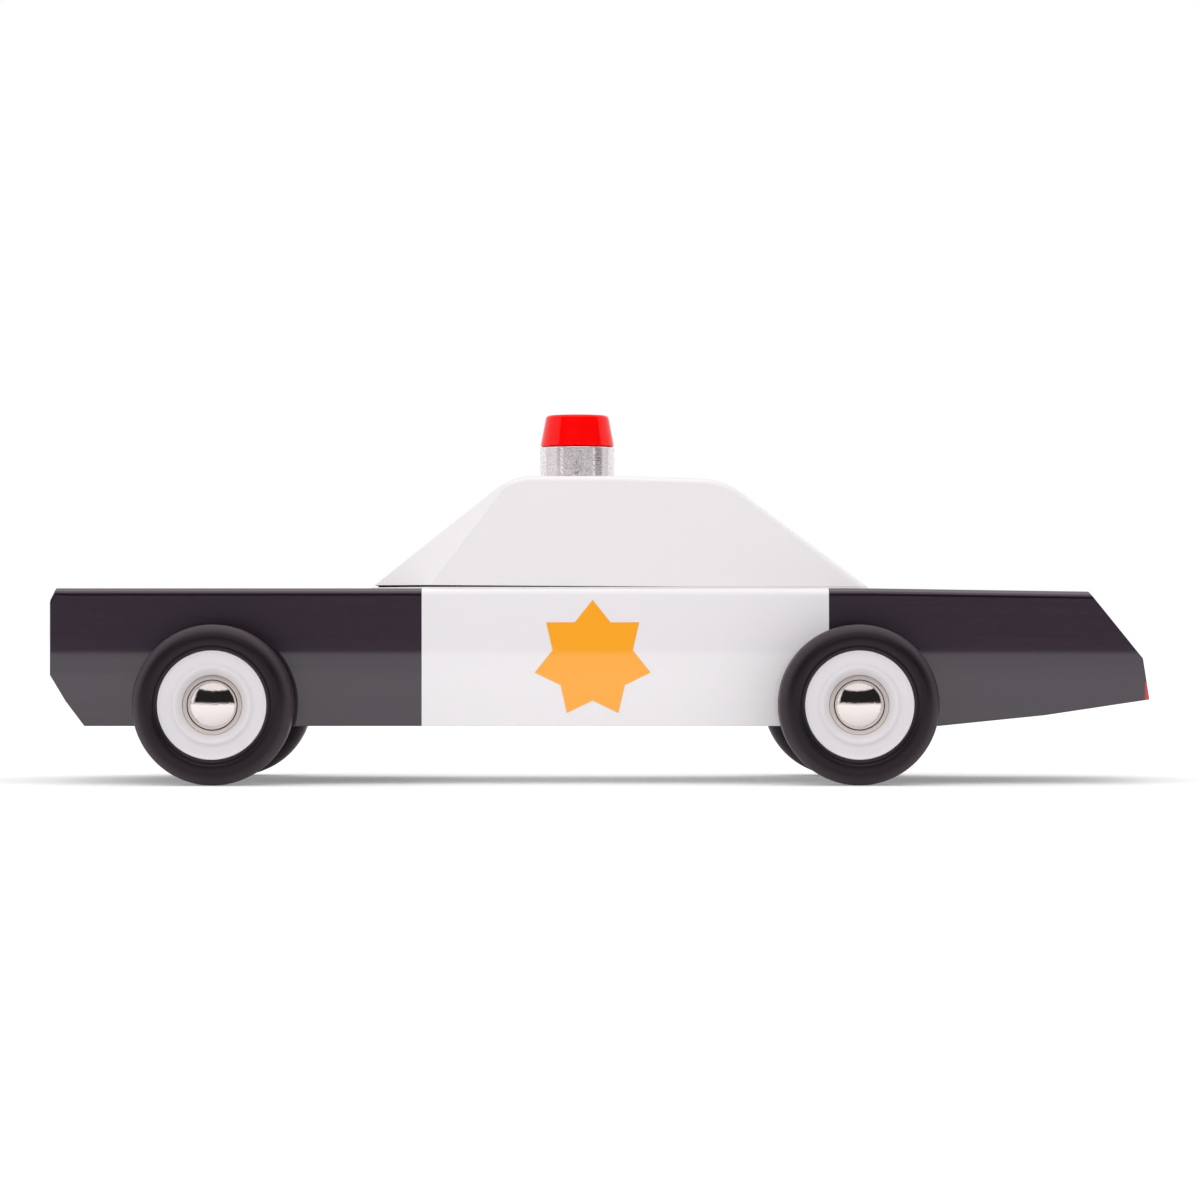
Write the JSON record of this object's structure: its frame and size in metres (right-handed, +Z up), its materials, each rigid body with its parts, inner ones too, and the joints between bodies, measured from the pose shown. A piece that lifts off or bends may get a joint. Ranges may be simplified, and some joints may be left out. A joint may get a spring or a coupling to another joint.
{
  "type": "toy police car",
  "caption": "Push-along wooden toy police car: black and white body block, white cabin, red roof beacon, star badge and free-rolling rubber-tyred wheels.",
  "frame": {"origin": "on the floor under the middle of the body's length, on the centre plane", "axes": "+X from the nose to the tail, +Y to the car's right side, +Z up"},
  "size_m": [0.1724, 0.069, 0.0589],
  "materials": {
    "body_paint": "gloss black paint with a white middle band, on solid wood",
    "cabin_paint": "satin white paint on solid wood",
    "dowel_wood": "bare turned wood",
    "base_metal": "fine turned, bright",
    "screw_steel": "zinc plated",
    "lens_red": "clear red, polished",
    "axle_steel": "drawn bright rod",
    "tyre_rubber": "smooth moulded rubber, satin",
    "hub_plastic": "moulded, satin white",
    "cap_nickel": "bright nickel plate",
    "bush_nylon": "natural nylon"
  },
  "bodies": {
    "chassis": {"body_block": "body_paint", "cabin_block": "cabin_paint", "cabin_dowels": "dowel_wood", "beacon_base": "base_metal", "beacon_screw": "screw_steel", "beacon_lens": "lens_red", "front_left_bush": "bush_nylon", "front_right_bush": "bush_nylon", "rear_left_bush": "bush_nylon", "rear_right_bush": "bush_nylon"},
    "front_axle_set": {"front_axle": "axle_steel", "front_left_cap": "cap_nickel", "front_right_cap": "cap_nickel"},
    "rear_axle_set": {"rear_axle": "axle_steel", "rear_left_cap": "cap_nickel", "rear_right_cap": "cap_nickel"},
    "front_left_wheel": {"front_left_tyre": "tyre_rubber", "front_left_hub": "hub_plastic"},
    "front_right_wheel": {"front_right_tyre": "tyre_rubber", "front_right_hub": "hub_plastic"},
    "rear_left_wheel": {"rear_left_tyre": "tyre_rubber", "rear_left_hub": "hub_plastic"},
    "rear_right_wheel": {"rear_right_tyre": "tyre_rubber", "rear_right_hub": "hub_plastic"}
  },
  "joints": [
    {"name": "front_axle_spin", "type": "hinge", "parent": "chassis", "child": "front_axle_set", "pos_m": [-0.0602, 0, 0.0125], "axis": [0, 1, 0], "continuous": true},
    {"name": "rear_axle_spin", "type": "hinge", "parent": "chassis", "child": "rear_axle_set", "pos_m": [0.0402, 0, 0.0125], "axis": [0, 1, 0], "continuous": true},
    {"name": "front_left_wheel_spin", "type": "hinge", "parent": "front_axle_set", "child": "front_left_wheel", "pos_m": [-0.0602, -0.03, 0.0125], "axis": [0, 1, 0], "continuous": true},
    {"name": "front_right_wheel_spin", "type": "hinge", "parent": "front_axle_set", "child": "front_right_wheel", "pos_m": [-0.0602, 0.03, 0.0125], "axis": [0, 1, 0], "continuous": true},
    {"name": "rear_left_wheel_spin", "type": "hinge", "parent": "rear_axle_set", "child": "rear_left_wheel", "pos_m": [0.0402, -0.03, 0.0125], "axis": [0, 1, 0], "continuous": true},
    {"name": "rear_right_wheel_spin", "type": "hinge", "parent": "rear_axle_set", "child": "rear_right_wheel", "pos_m": [0.0402, 0.03, 0.0125], "axis": [0, 1, 0], "continuous": true}
  ]
}
